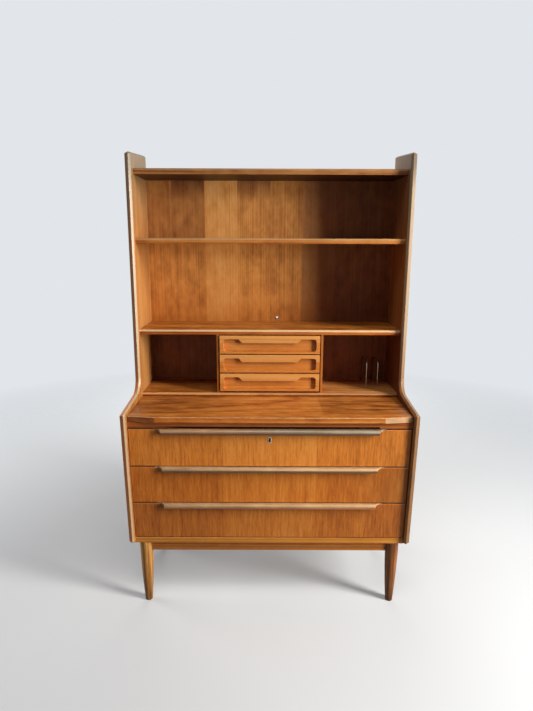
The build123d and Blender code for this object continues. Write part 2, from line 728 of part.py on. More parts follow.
# Small drawers, from the bottom one up
small_box_half = divider_inner - SMALL_BOX_GAP
small_back = back_face + SMALL_BACK_GAP
small_runners = []
for row, z_low in zip(ROWS, small_lows):
    z_high = z_low + SMALL_HEIGHT
    front_back = small_face_depth - SMALL_FRONT_THICKNESS
    front = block(-small_half, small_half, front_back, small_face_depth, z_low, z_high)
    box_low = z_low + SMALL_BOX_LIFT
    box_high = z_high - SMALL_BOX_DROP
    box_mid = (box_low + box_high) / 2
    base_low = box_low + SMALL_BASE_LIFT
    base_high = base_low + SMALL_BASE
    small_runners += runner_pair(
        divider_inner,
        SMALL_BOX_GAP + SMALL_RUNNER_GROOVE - RUNNER_CLEARANCE,
        SMALL_RUNNER_HEIGHT,
        box_mid,
        small_back,
        front_back - SMALL_BOX_GAP,
    )
    groove_half = SMALL_RUNNER_HEIGHT / 2 + RUNNER_CLEARANCE
    groove = block(
        small_box_half - SMALL_RUNNER_GROOVE,
        small_box_half,
        small_back,
        front_back,
        box_mid - groove_half,
        box_mid + groove_half,
    )
    outline = tailed_side(
        small_back,
        small_face,
        SMALL_FRONT_THICKNESS,
        box_low,
        box_high,
        SMALL_TAIL_COUNT,
        SMALL_TAIL_LENGTH,
        SMALL_TAIL_WIDTH,
    )
    base_front = front_back + SMALL_WALL / 2
    sides, back, base = drawer_box(
        outline, small_box_half, SMALL_WALL, small_back, base_low, base_high, base_front, box_high, groove
    )
    front = front - sides[0] - sides[1] - base - pocket_cut(z_low)
    keep(f"small_front_{row}", front)
    keep(f"small_sides_{row}", *sides)
    keep(f"small_back_{row}", back)
    keep(f"small_base_{row}", base)
keep("small_drawer_runners", *small_runners)

os.makedirs("parts", exist_ok=True)
for name, solids in nodes.items():
    shape = solids[0] if len(solids) == 1 else Compound(solids)
    export_step(shape, f"parts/{name}.step")
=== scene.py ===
from math import radians

import bpy
import numpy as np
from mathutils import Matrix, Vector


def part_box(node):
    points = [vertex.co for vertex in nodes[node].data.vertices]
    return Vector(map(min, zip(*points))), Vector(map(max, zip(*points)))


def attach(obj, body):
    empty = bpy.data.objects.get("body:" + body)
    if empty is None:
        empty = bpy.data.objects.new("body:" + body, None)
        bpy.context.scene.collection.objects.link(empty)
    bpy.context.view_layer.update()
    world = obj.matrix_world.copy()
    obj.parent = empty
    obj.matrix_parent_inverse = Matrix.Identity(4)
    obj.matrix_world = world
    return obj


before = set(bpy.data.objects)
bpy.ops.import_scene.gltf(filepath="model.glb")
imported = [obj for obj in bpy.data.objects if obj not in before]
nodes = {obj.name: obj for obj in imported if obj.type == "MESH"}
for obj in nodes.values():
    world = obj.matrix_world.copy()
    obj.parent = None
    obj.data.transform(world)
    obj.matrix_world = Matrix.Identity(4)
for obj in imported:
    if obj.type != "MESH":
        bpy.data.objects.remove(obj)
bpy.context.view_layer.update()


# Leg frame: four turned legs of solid teak, with four aprons tenoned into them below the case.
# The wood is oiled, its grain runs up the legs and along the aprons, and the growth rings show as long
# pointed arches where the turning cuts through them. Painted shade darkens the legs towards the floor.


def tone(red, green, blue):
    """Linear colour from screen values of 0 to 255, by the usual screen curve."""
    share = np.array([red, green, blue]) / 255
    linear = np.where(share > 0.04045, ((share + 0.055) / 1.055) ** 2.4, share / 12.92)
    return (*linear.tolist(), 1.0)


def node(tree, kind, inputs, **settings):
    """One shader node, whose inputs are plain values or the outputs of other nodes."""
    made = tree.nodes.new(kind)
    for key, value in settings.items():
        setattr(made, key, value)
    for key, value in inputs.items():
        if isinstance(value, bpy.types.NodeSocket):
            tree.links.new(value, made.inputs[key])
        else:
            made.inputs[key].default_value = value
    return made


def maths(tree, operation, first, second=0.0, third=0.0):
    """The result of one Math node."""
    return node(tree, "ShaderNodeMath", {0: first, 1: second, 2: third}, operation=operation).outputs[0]


def slope(tree, value, low, high, below=0.0, above=1.0):
    """A value that goes in a straight line from below to above, between low and high."""
    inputs = {"Value": value, 1: low, 2: high, 3: below, 4: above}
    return node(tree, "ShaderNodeMapRange", inputs).outputs[0]


def axes_of(tree):
    """The three object coordinates, as separate outputs, and the point that they make."""
    place = node(tree, "ShaderNodeTexCoord", {}).outputs["Object"]
    return node(tree, "ShaderNodeSeparateXYZ", {0: place}).outputs, place


def noise(tree, place, stretch, detail, seed):
    """Noise whose features are one over stretch metres long in each direction."""
    scaled = node(tree, "ShaderNodeVectorMath", {0: place, 1: stretch}, operation="MULTIPLY").outputs[0]
    inputs = {"Vector": scaled, "W": seed, "Scale": 1.0, "Detail": detail, "Roughness": 0.55}
    return node(tree, "ShaderNodeTexNoise", inputs, noise_dimensions="4D").outputs["Fac"]


def blend_colour(tree, kind, share, below, above):
    """The colour that a Mix node gives."""
    inputs = {"Factor": share, "A": below, "B": above}
    return node(tree, "ShaderNodeMix", inputs, data_type="RGBA", blend_type=kind).outputs[2]


def new_material(name):
    """A material with nothing but its Principled shader."""
    material = bpy.data.materials.new(name)
    material.use_nodes = True
    return material, material.node_tree, material.node_tree.nodes["Principled BSDF"]


def wood(name, axes, tones, seed, leaf=0.0, phase=0.0, beat=1.6, spread=0.1, figure=0.0, ring=0.011,
         heart=0.07, arch=0.02, waver=0.02, stripe=0.5, fine=0.55, mottle=0.25, rough=0.42, gloss=0.25,
         lip=None):
    """Wood whose grain runs along the last of three axes; the first runs across the board's face.

    Noises drawn out along the grain give slow blotches, bands, ribbons, fine lines and pores, and one drawn
    out less gives the mottled shimmer. Growth rings, as strong as figure, are the distance from a wavering
    trunk line that lies behind the face (heart) and rises slowly towards it (arch). Their sum shades the
    wood between three browns. Where leaf is given, the face is laid in veneer leaves of that width, each the
    mirror of its neighbour, and darker or paler by up to spread: the sine of its number times beat, plus
    phase. Where lip is given, the wood in front of that depth is a strip of its own, glued on at a seam.
    """
    material, tree, shader = new_material(name)
    split, place = axes_of(tree)
    across, through, along = (split[axis] for axis in axes)
    shade = 0.5
    if leaf:
        deeper_per_leaf = 0.013
        number = maths(tree, "FLOOR", maths(tree, "DIVIDE", across, leaf))
        leaf_tone = maths(tree, "SINE", maths(tree, "MULTIPLY_ADD", number, beat, phase))
        shade = maths(tree, "MULTIPLY_ADD", leaf_tone, spread, shade)
        through = maths(tree, "MULTIPLY_ADD", number, deeper_per_leaf, through)
        across = maths(tree, "PINGPONG", across, leaf)
    if lip is not None:
        deeper_in_strip, strip_shade = 0.37, 0.06
        seam_half, seam_shade = 0.0003, -0.35
        strip = maths(tree, "LESS_THAN", split["Y"], lip)
        through = maths(tree, "MULTIPLY_ADD", strip, deeper_in_strip, through)
        shade = maths(tree, "MULTIPLY_ADD", strip, strip_shade, shade)
        seam = maths(tree, "COMPARE", split["Y"], lip, seam_half)
        shade = maths(tree, "MULTIPLY_ADD", seam, seam_shade, shade)
    spot = node(tree, "ShaderNodeCombineXYZ", {0: across, 1: through, 2: along}).outputs[0]

    blotch = noise(tree, spot, (6.0, 6.0, 1.3), 2.0, seed)
    bands = noise(tree, spot, (45.0, 45.0, 0.8), 2.0, seed + 3.0)
    ribbon = noise(tree, spot, (180.0, 180.0, 0.9), 2.0, seed + 4.0)
    lines = noise(tree, spot, (520.0, 520.0, 2.0), 2.0, seed + 5.0)
    shimmer = noise(tree, spot, (30.0, 30.0, 17.0), 2.0, seed + 6.0)
    pores = noise(tree, spot, (1700.0, 1700.0, 50.0), 1.0, seed + 7.0)
    layers = ((0.5, blotch), (stripe, bands), (1.6 * stripe, ribbon), (fine, lines), (mottle, shimmer))
    for share, layer in layers:
        shade = maths(tree, "ADD", shade, maths(tree, "MULTIPLY_ADD", layer, share, -share / 2))
    if figure:
        bent = maths(tree, "ADD", across, maths(tree, "MULTIPLY_ADD", blotch, waver * 2, -waver))
        depth = maths(tree, "ADD", through, maths(tree, "MULTIPLY_ADD", along, arch, heart))
        trunk = node(tree, "ShaderNodeCombineXYZ", {0: bent, 1: depth}).outputs[0]
        radius = node(tree, "ShaderNodeVectorMath", {0: trunk}, operation="LENGTH").outputs["Value"]
        rings = maths(tree, "PINGPONG", maths(tree, "DIVIDE", radius, ring), 1.0)
        late = maths(tree, "POWER", rings, 3.0)
        shade = maths(tree, "MULTIPLY_ADD", late, -figure, maths(tree, "ADD", shade, figure / 4))

    browns = node(tree, "ShaderNodeValToRGB", {"Fac": shade})
    stops = browns.color_ramp.elements
    stops[0].position, stops[1].position = 0.15, 0.85
    stops[0].color, stops[1].color = tones[0], tones[2]
    stops.new(0.5).color = tones[1]
    pore_shade, polish, relief_depth = 0.74, 0.2, 0.0003
    closed = slope(tree, pores, 0.30, 0.42, pore_shade)
    colour = blend_colour(tree, "MULTIPLY", 1.0, browns.outputs["Color"], closed)
    tree.links.new(colour, shader.inputs["Base Color"])
    dullness = maths(tree, "MULTIPLY_ADD", lines, -polish, rough + polish / 2)
    tree.links.new(dullness, shader.inputs["Roughness"])
    relief = maths(tree, "MULTIPLY_ADD", lines, 0.5, closed)
    bump = node(tree, "ShaderNodeBump", {"Strength": 0.1, "Distance": relief_depth, "Height": relief})
    tree.links.new(bump.outputs[0], shader.inputs["Normal"])
    shader.inputs["Specular IOR Level"].default_value = gloss
    return material


SAME_POINT = 1e-6
SHARP_FROM = radians(25)


def dress(material, ease, *names):
    """Gives CAD nodes their material, and rounds their sharp edges over by ease, in metres."""
    for name in names:
        piece = nodes[name]
        piece.data.materials.clear()
        piece.data.materials.append(material)
        if ease:
            piece.modifiers.new("weld", "WELD").merge_threshold = SAME_POINT
            rounded = piece.modifiers.new("ease", "BEVEL")
            rounded.width = ease
            rounded.segments = 2
            rounded.limit_method = "ANGLE"
            rounded.angle_limit = SHARP_FROM


def fading(axis, low, high, below, above):
    """A mask that goes from below to above, between two places on one axis."""

    def mask(tree, split, place):
        return slope(tree, split[axis], low, high, below, above)

    return mask


def repaint(material, colour, *masks, kind="MIX"):
    """Lays a colour, or the colour that a function makes, over a material by the product of its masks."""
    tree = material.node_tree
    base = tree.nodes["Principled BSDF"].inputs["Base Color"]
    below = base.links[0].from_socket if base.is_linked else tuple(base.default_value)
    split, place = axes_of(tree)
    colour = colour(tree, place) if callable(colour) else colour
    share = 1.0
    for mask in masks:
        share = maths(tree, "MULTIPLY", share, mask(tree, split, place))
    tree.links.new(blend_colour(tree, kind, share, below, colour), base)


def darken(material, colour, *masks):
    """Multiplies a material's colour by another, by the product of its masks."""
    repaint(material, colour, *masks, kind="MULTIPLY")


ARRIS = 0.0007
LEG_TEAK = (tone(112, 62, 22), tone(172, 114, 52), tone(208, 160, 96))
DARK_LEG = (tone(78, 40, 14), tone(126, 72, 30), tone(170, 112, 58))
FOOT_SHADE = tone(190, 188, 178)
FOOT_SHADE_TO = 0.17
for hand, tones, seed in (("left", LEG_TEAK, 2.0), ("right", DARK_LEG, 2.6)):
    leg_wood = wood(f"teak_leg_{hand}", "XYZ", tones, seed, figure=0.3, ring=0.007, heart=0.012,
                    waver=0.004)
    # Painted shade: the legs are darker towards the floor.
    towards_floor = fading("Z", 0.0, FOOT_SHADE_TO, 1.0, 0.0)
    darken(leg_wood, FOOT_SHADE, towards_floor)
    dress(leg_wood, ARRIS, f"leg_front_{hand}", f"leg_back_{hand}")
APRON_TEAK = (tone(120, 62, 18), tone(172, 100, 38), tone(204, 140, 68))
dress(wood("teak_apron", "ZYX", APRON_TEAK, seed=5.0), ARRIS, "apron_front", "apron_back")
dress(wood("teak_side_apron", "ZXY", APRON_TEAK, seed=6.0), ARRIS, "apron_left", "apron_right")

# Sides: each is one veneered board, sawn to its outline from foot to horn, with a knee at the writing slide.
# Its edges are lipped with solid teak and bevelled from both faces to a narrow ridge. The grain is upright,
# in two wide leaves. The bevels carry a painted highlight, the sides turn grey towards the horns as a
# painted reflection, and the horns are painted darker at the top. The right side carries painted shade
# beyond its ridge and, inside, below the lower shelf.


def inside(share=1.0, **limits):
    """A mask that is share where each coordinate named lies between its limits, and nothing elsewhere."""

    def mask(tree, split, place):
        level = share
        for axis, (low, high) in limits.items():
            level = maths(tree, "MULTIPLY", level, maths(tree, "GREATER_THAN", split[axis], low))
            level = maths(tree, "MULTIPLY", level, maths(tree, "LESS_THAN", split[axis], high))
        return level

    return mask


FAR = 9.0
INNER_FACE, RIDGE, OUTER_FACE = 0.4803, 0.488, 0.4998
BEVEL_HIGHLIGHT_TO = 0.4818
KNEE = 0.7
SIDE_LEAF = 0.24
SIDE_EASE = 0.0018
SIDE_TEAK = (tone(122, 70, 30), tone(168, 108, 52), tone(200, 144, 82))
GREY_REFLECTION = tone(124, 112, 88)
BEVEL_HIGHLIGHT = tone(186, 164, 128)
AMBER = tone(236, 130, 36)
SHADED = tone(178, 172, 160)
PIGEONHOLE_SIDE_SHADE = tone(166, 150, 176)
HORN_DARKER = tone(220, 224, 202)
HORN_BEVEL_DARKER = tone(206, 194, 170)
DARK_BEVEL = tone(172, 154, 124)
shelf_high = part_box("lower_shelf")[1].z
left_wood = wood("teak_side_left", "YXZ", SIDE_TEAK, 1.0, leaf=SIDE_LEAF, phase=1.0, rough=0.38, gloss=0.45)
paler_upwards = fading("Z", KNEE, 1.2, 0.65, 0.8)
# Painted highlight on the left side's inner bevel, paler upwards.
repaint(left_wood, BEVEL_HIGHLIGHT, inside(X=(-RIDGE, -BEVEL_HIGHLIGHT_TO)), paler_upwards)
below_knee = fading("Z", KNEE, 0.95, 0.8, 0.0)
repaint(left_wood, AMBER, inside(X=(-OUTER_FACE, -RIDGE)), below_knee)
right_wood = wood("teak_side_right", "YXZ", SIDE_TEAK, 1.0, leaf=SIDE_LEAF, phase=1.0, gloss=0.15)
darken(right_wood, SHADED, inside(X=(RIDGE, FAR)))
inner_above_knee = fading("Z", KNEE, 1.0, 0.1, 0.6)
# Painted highlight on both bevels of the right side.
repaint(right_wood, BEVEL_HIGHLIGHT, inside(X=(INNER_FACE, RIDGE)), inner_above_knee)
outer_above_knee = fading("Z", KNEE, 1.0, 0.12, 0.4)
repaint(right_wood, BEVEL_HIGHLIGHT, inside(X=(RIDGE, OUTER_FACE)), outer_above_knee)
# Painted shade on the right side's inner face below the lower shelf.
darken(right_wood, PIGEONHOLE_SIDE_SHADE, inside(X=(0, INNER_FACE), Z=(0, shelf_high)))
# Painted reflection: the sides turn grey upwards towards the horns.
towards_horn = fading("Z", 1.30, 1.60, 0.0, 0.6)
for hand, side_wood in (("left", left_wood), ("right", right_wood)):
    repaint(side_wood, GREY_REFLECTION, towards_horn, inside(X=(-OUTER_FACE, OUTER_FACE)))
    dress(side_wood, SIDE_EASE, f"side_panel_{hand}")
# The horns are painted darker at the top.
horn = fading("Z", 1.48, 1.56, 0.0, 1.0)
darken(left_wood, HORN_DARKER, inside(X=(-RIDGE, 0)), horn)
darken(left_wood, HORN_BEVEL_DARKER, inside(X=(-RIDGE, -INNER_FACE)), horn)
darken(right_wood, DARK_BEVEL, inside(X=(RIDGE, OUTER_FACE)), horn)

# Boards between the sides: bottom, rail, hutch floor, two shelves and top, housed into the sides.
# Teak veneer with the grain from side to side, and a solid strip along the front edge, bevelled to a
# ridge. The upper bevel carries a painted highlight and the lower bevel painted shade, the undersides are
# painted in shade, and the right end of the hutch floor's top carries painted light. The rail carries
# painted shade along its lower edge above the top grip.
LIP_WIDTH = 0.009
SKIN = 0.0002
HIGHLIGHT_BELOW = (0.0078, 0.0052)
BEVEL_SHADE_BELOW = (0.0105, 0.0085)
TEAK = (tone(118, 58, 14), tone(164, 94, 32), tone(196, 130, 62))
TOP_TEAK = (tone(78, 40, 12), tone(126, 72, 28), tone(160, 104, 52))
PALE_HIGHLIGHT = tone(210, 180, 136)
GREY_HIGHLIGHT = tone(138, 120, 80)
PAINTED_LIGHT = tone(236, 180, 110)
UNLIT = tone(190, 176, 168)
DARK_UNLIT = tone(118, 106, 110)
LOWER_BEVEL_SHADE = tone(255, 206, 164)
boards = (
    ("top_board", TOP_TEAK, GREY_HIGHLIGHT, 0.3, 0.0, DARK_UNLIT),
    ("upper_shelf", TEAK, GREY_HIGHLIGHT, 0.4, 0.3, UNLIT),
    ("lower_shelf", TEAK, PALE_HIGHLIGHT, 0.7, 0.8, UNLIT),
    ("hutch_floor", TEAK, PALE_HIGHLIGHT, 0.2, 0.3, UNLIT),
)
for count, (name, tones, highlight, highlight_share, red, below) in enumerate(boards):
    low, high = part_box(name)
    strip_back = low.y + LIP_WIDTH
    board_wood = wood(f"teak_{name}", "YZX", tones, 8.0 + count, figure=0.15, ring=0.006, waver=0.03,
                      stripe=1.0, mottle=0.9, lip=strip_back)
    # Painted highlight on the upper bevel of each front strip.
    upper_bevel = fading("Z", high.z - HIGHLIGHT_BELOW[0], high.z - HIGHLIGHT_BELOW[1], 0.0, highlight_share)
    repaint(board_wood, highlight, upper_bevel, inside(Z=(0, high.z - SKIN)))
    # Painted shade on the lower bevel of each front strip.
    lower_bevel = fading("Z", high.z - BEVEL_SHADE_BELOW[0], high.z - BEVEL_SHADE_BELOW[1], red, 0.0)
    darken(board_wood, LOWER_BEVEL_SHADE, lower_bevel, inside(Y=(-FAR, strip_back)))
    # Painted shade on each underside.
    darken(board_wood, below, inside(Z=(0, low.z + 2 * SKIN)))
    if name == "hutch_floor":
        # Painted light on the right end of the hutch floor's top.
        lit_end = fading("X", 0.16, 0.24, 0.0, 0.18)
        repaint(board_wood, PAINTED_LIGHT, inside(Z=(high.z - SKIN, FAR)), lit_end)
    dress(board_wood, ARRIS, name)
BRIGHT_TEAK = (tone(150, 84, 24), tone(200, 126, 48), tone(224, 160, 82))
dress(wood("teak_bottom_board", "YZX", BRIGHT_TEAK, seed=13.0), ARRIS, "bottom_board")
RAIL_TEAK = (tone(112, 54, 22), tone(156, 82, 36), tone(184, 110, 56))
GAP_SHADE = tone(70, 52, 42)
GAP_SHADE_HIGH = 0.0065
GAP_SHADE_END = 0.37
rail_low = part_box("front_rail")[0].z
rail_wood = wood("teak_rail", "ZYX", RAIL_TEAK, seed=11.0, gloss=0.1)
# Painted shade along the rail's lower edge, above the top grip.
above_grip = fading("X", -0.38, -0.31, 0.2, 1.0)
darken(rail_wood, GAP_SHADE, above_grip, inside(X=(-FAR, GAP_SHADE_END), Z=(0, rail_low + GAP_SHADE_HIGH)))
dress(rail_wood, ARRIS, "front_rail")

# Back panels: thin boards set in rabbets of the sides and held by slotted screws from behind. The upper one
# is veneered inside with upright leaves of teak, tinted in the upper bay and darker on its left leaves
# there.
# Painted shade darkens it below the lower shelf, towards the lower shelf in the middle bay, on the leaves
# right of the middle and on two leaves under the top. Behind, both are plain pale ply.
BACK_LEAF = 0.128
REAR_SKIN = 0.0005
UNEASED = 0.0
BACK_TEAK = (tone(166, 94, 42), tone(232, 156, 75), tone(250, 184, 108))
PALE = (tone(166, 124, 80), tone(194, 154, 106), tone(212, 178, 132))
PIGEONHOLE_SHADE = tone(158, 150, 176)
MIDDLE_BAY_SHADE = tone(200, 181, 158)
UPPER_BAY_TINT = tone(236, 242, 253)
LEFT_LEAVES = tone(216, 210, 216)
RIGHT_LEAF_SHADE = tone(204, 194, 200)
UNDER_TOP_SHADE = tone(186, 180, 196)
rear_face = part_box("back_panel_upper")[1].y - REAR_SKIN
upper_shelf_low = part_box("upper_shelf")[0].z
back_wood = wood("teak_back", "XYZ", BACK_TEAK, 4.0, leaf=BACK_LEAF, phase=5.76, beat=2.094, spread=0.13,
                 stripe=0.26, fine=0.4, mottle=0.6, gloss=0.2, rough=0.5)
inner_side = inside(Y=(-FAR, rear_face))
pigeonholes = inside(Z=(0, shelf_high))
middle_bay = inside(Z=(shelf_high, upper_shelf_low))
upper_bay = inside(Z=(upper_shelf_low, FAR))
towards_shelf = fading("Z", 1.0, 1.23, 1.0, 0.0)
under_top = fading("Z", 1.46, 1.53, 0.0, 1.0)
# Painted shade on the back below the lower shelf.
darken(back_wood, PIGEONHOLE_SHADE, inner_side, pigeonholes)
# Painted shade, darker and redder towards the lower shelf in the middle bay.
darken(back_wood, MIDDLE_BAY_SHADE, inner_side, middle_bay, towards_shelf)
# The upper bay is tinted slightly cooler and darker.
darken(back_wood, UPPER_BAY_TINT, inner_side, upper_bay)
darken(back_wood, LEFT_LEAVES, inner_side, upper_bay, inside(X=(-FAR, -2 * BACK_LEAF)))
# Painted shade on the leaves right of the middle, above the lower shelf.
darken(back_wood, RIGHT_LEAF_SHADE, inner_side, inside(X=(BACK_LEAF, FAR), Z=(shelf_high, FAR)))
# Painted shade on two leaves just under the top.
for leaf in (-3, -1):
    shaded_leaf = inside(X=(leaf * BACK_LEAF, (leaf + 1) * BACK_LEAF))
    darken(back_wood, UNDER_TOP_SHADE, inner_side, upper_bay, shaded_leaf, under_top)


def ply_veneer(seed):
    """Pale upright grain: wide flames, bands and fine lines from three noises, between two tones of ply."""

    def colour(tree, place):
        flames = noise(tree, place, (9.0, 9.0, 0.7), detail=3.0, seed=seed)
        contours = maths(tree, "PINGPONG", maths(tree, "MULTIPLY", flames, 14.0), 1.0)
        bands = noise(tree, place, (60.0, 60.0, 0.5), detail=2.0, seed=seed + 1.0)
        lines = noise(tree, place, (420.0, 420.0, 3.0), detail=2.0, seed=seed + 2.0)
        grain = maths(tree, "MULTIPLY_ADD", contours, 0.3, maths(tree, "MULTIPLY_ADD", bands, 0.8, -0.4))
        grain = maths(tree, "MULTIPLY_ADD", lines, 0.9, grain)
        return blend_colour(tree, "MIX", slope(tree, grain, -0.1, 1.3), PALE[0], PALE[2])

    return colour


outer_side = inside(Y=(rear_face, FAR))
repaint(back_wood, ply_veneer(seed=31.0), outer_side)
dress(back_wood, UNEASED, "back_panel_upper")
ply = wood("back_ply", "XYZ", PALE, seed=24.0, rough=0.6)
repaint(ply, ply_veneer(seed=41.0), outer_side)
dress(ply, UNEASED, "back_panel_lower")

# Dividers: two thin upright boards that hold the small drawers, let into the floor and the lower shelf.
# Solid teak, planed thin, with the grain upright.
THIN_EASE = 0.0005
dress(wood("teak_divider", "YXZ", TEAK, seed=9.0), THIN_EASE, "divider_left", "divider_right")

# Runners: strips of pale hardwood, glued to the sides and the dividers, with two stops below the writing
# slide. Waxed, with the grain along the way that the drawers run.
runner_wood = wood("runner_wood", "ZXY", PALE, seed=12.0, figure=0.3, ring=0.005, rough=0.5)
dress(runner_wood, THIN_EASE, "slide_runners", "drawer_runners", "small_drawer_runners", "slide_stops")

# Letter hoops: two hoops of bright wire, bent to a narrow arch and pressed into the hutch floor, with
# painted shade on their back legs. The eyelet for a cord is pressed from thin plated metal and sits in the
# back panel, with painted shade on its lower half.


def metal(name, colour, rough):
    """Plated metal: one colour, with a fine noise in how rough it is."""
    scuff_depth = 0.24
    material, tree, shader = new_material(name)
    scuff = noise(tree, axes_of(tree)[1], (900.0, 900.0, 300.0), detail=3.0, seed=1.0)
    scuffed = maths(tree, "MULTIPLY_ADD", scuff, scuff_depth, rough - scuff_depth / 2)
    tree.links.new(scuffed, shader.inputs["Roughness"])
    shader.inputs["Base Color"].default_value = colour
    shader.inputs["Metallic"].default_value = 1.0
    return material


WIRE = tone(178, 174, 168)
EYELET = tone(226, 216, 192)
METAL_SHADE = tone(52, 44, 40)
hoop_low, hoop_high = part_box("letter_hoop_left")
wire = metal("bright_wire", WIRE, rough=0.25)
towards_back_leg = fading("Y", hoop_low.y + 0.004, hoop_high.y - 0.02, 0.0, 1.0)
# Painted shade on the hoops' back legs.
repaint(wire, METAL_SHADE, towards_back_leg)
dress(wire, UNEASED, "letter_hoop_left", "letter_hoop_right")
eyelet_metal = metal("eyelet_metal", EYELET, rough=0.28)
eyelet_low, eyelet_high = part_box("cord_eyelet")
eyelet_z = (eyelet_low.z + eyelet_high.z) / 2
lower_half = fading("Z", eyelet_z, eyelet_z + 0.0015, 1.0, 0.0)
# Painted shade on the eyelet's lower half.
repaint(eyelet_metal, METAL_SHADE, lower_half)
dress(eyelet_metal, UNEASED, "cord_eyelet")

# Writing slide: a veneered panel with a solid lipping that is cut back at its corners, with a painted
# highlight along its top edge, painted shade on its left corner and a painted reflection on its right one.
# Teak with the grain from side to side; the panel shows pointed arches of growth rings, is darker towards
# its left end, and has a seam where its darker right leaf begins.
SLIDE_TEAK = (tone(126, 62, 18), tone(186, 108, 40), tone(214, 146, 70))
RIGHT_SEAM = 0.18
SLIDE_EASE = 0.0004
DARKER_ENDS = tone(232, 228, 222)
STAIN = tone(198, 180, 178)
slide_wood = wood("teak_slide", "YZX", SLIDE_TEAK, 14.0, figure=0.2, ring=0.005, heart=0.05, arch=0.03,
                  waver=0.03, stripe=0.75, mottle=0.7, gloss=0.35)
# The slide's panel is darker towards its left end and past the right seam.
darker_left = fading("X", -0.38, -0.1, 1.0, 0.0)
darken(slide_wood, DARKER_ENDS, darker_left)
darken(slide_wood, DARKER_ENDS, inside(X=(RIGHT_SEAM, FAR)))


def stains(tree, split, place):
    """A noise of blotches as long as a hand and a finger deep."""
    blotches = noise(tree, place, (7.0, 34.0, 0.0), detail=3.0, seed=5.0)
    return slope(tree, blotches, 0.47, 0.62, 0.0, 1.0)


stained_left = fading("X", -0.3, -0.05, 1.0, 0.0)
stained_right = fading("X", 0.12, 0.26, 0.0, 1.0)
darken(slide_wood, STAIN, stains, stained_left)
darken(slide_wood, STAIN, stains, stained_right)
dress(slide_wood, SLIDE_EASE, "slide_panel")


def patches(tree, split, place):
    """A noise along the edge, which breaks the painted highlight up into patches."""
    highlight_along = noise(tree, place, (60.0, 0.0, 0.0), detail=3.0, seed=2.0)
    return slope(tree, highlight_along, 0.40, 0.60, 0.3, 0.9)


CORNER_START = 0.385
FACE_BELOW = 0.0016
ROUND_BELOW = (0.0022, 0.0006)
TOP_SKIN = 0.0001
REDDER_FACE = tone(250, 230, 212)
CORNER_SHADE = tone(96, 50, 20)
lip_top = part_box("slide_lipping")[1].z
upright_face = (0, lip_top - FACE_BELOW)
lipping_wood = wood("teak_lipping", "ZYX", SLIDE_TEAK, seed=15.0, stripe=0.7, mottle=0.6)
redder_left = fading("X", -0.1, 0.25, 1.0, 0.0)
darken(lipping_wood, REDDER_FACE, inside(Z=upright_face), redder_left)
# Painted shade on the lipping's left corner.
repaint(lipping_wood, CORNER_SHADE, inside(0.5, X=(-FAR, -CORNER_START), Z=upright_face))
# Painted reflection on the lipping's right corner.
repaint(lipping_wood, PALE_HIGHLIGHT, inside(0.5, X=(CORNER_START, FAR), Z=upright_face))
# Painted highlight along the lipping's rounded top edge.
rounded_edge = fading("Z", lip_top - ROUND_BELOW[0], lip_top - ROUND_BELOW[1], 0.0, 1.0)
repaint(lipping_wood, PALE_HIGHLIGHT, rounded_edge, inside(Z=(0, lip_top - TOP_SKIN)), patches)
dress(lipping_wood, UNEASED, "slide_lipping")

# Wide drawers: veneered fronts with upright grain, a carved lip handle of paler solid teak along the top
# edge, and boxes of pale wood that are dovetailed at the front and grooved for the runners. Painted shade
# darkens the gaps between the fronts, each grip below its nose, the right ends of the fronts and the right
# half of the top grip, and the fronts are paler upwards as painted light.
ROWS = ("bottom", "middle", "top")
# The rows' browns are paler upwards: painted light on the top front, painted shade on the bottom one.
FRONT_TEAK = {
    "bottom": (tone(134, 65, 17), tone(186, 105, 37), tone(212, 137, 60)),
    "middle": (tone(142, 68, 13), tone(197, 110, 35), tone(222, 140, 56)),
    "top": (tone(152, 78, 19), tone(212, 124, 44), tone(232, 154, 70)),
}
HANDLE_TEAK = {
    "bottom": (tone(138, 94, 56), tone(174, 132, 88), tone(202, 168, 122)),
    "middle": (tone(146, 104, 62), tone(184, 146, 100), tone(212, 180, 136)),
    "top": (tone(150, 102, 61), tone(190, 143, 98), tone(216, 178, 132)),
}
BELOW_NOSE = {"bottom": tone(246, 210, 170), "middle": tone(140, 118, 74), "top": tone(150, 124, 92)}
NOSE_SHADE = (0.008, 0.012)
RIGHT_END_SHADE = tone(204, 208, 226)
RIGHT_SHADE_SHARE = {"bottom": 0.2, "middle": 0.9, "top": 0.4}
TOP_GRIP_SHADE = tone(192, 220, 250)
FRONT_LEAF = 0.16
HANDLE_EASE = 0.0008
GRIP_HALF = 0.394
STRIP_ENDS = ((-FAR, -GRIP_HALF), (GRIP_HALF, FAR))
GAP_SHADE_DROP, GAP_SHADE_RISE, GAP_SHADE_DEPTH = 0.0009, 0.0008, 0.005
box_wood = wood("drawer_side_wood", "ZXY", PALE, seed=18.0, figure=0.3, ring=0.006, rough=0.5)
end_wood = wood("drawer_end_wood", "ZYX", PALE, seed=19.0, figure=0.3, ring=0.006, rough=0.5)
base_ply = wood("drawer_ply", "XZY", PALE, seed=20.0, figure=0.15, ring=0.02, waver=0.05, stripe=0.3,
                rough=0.6)
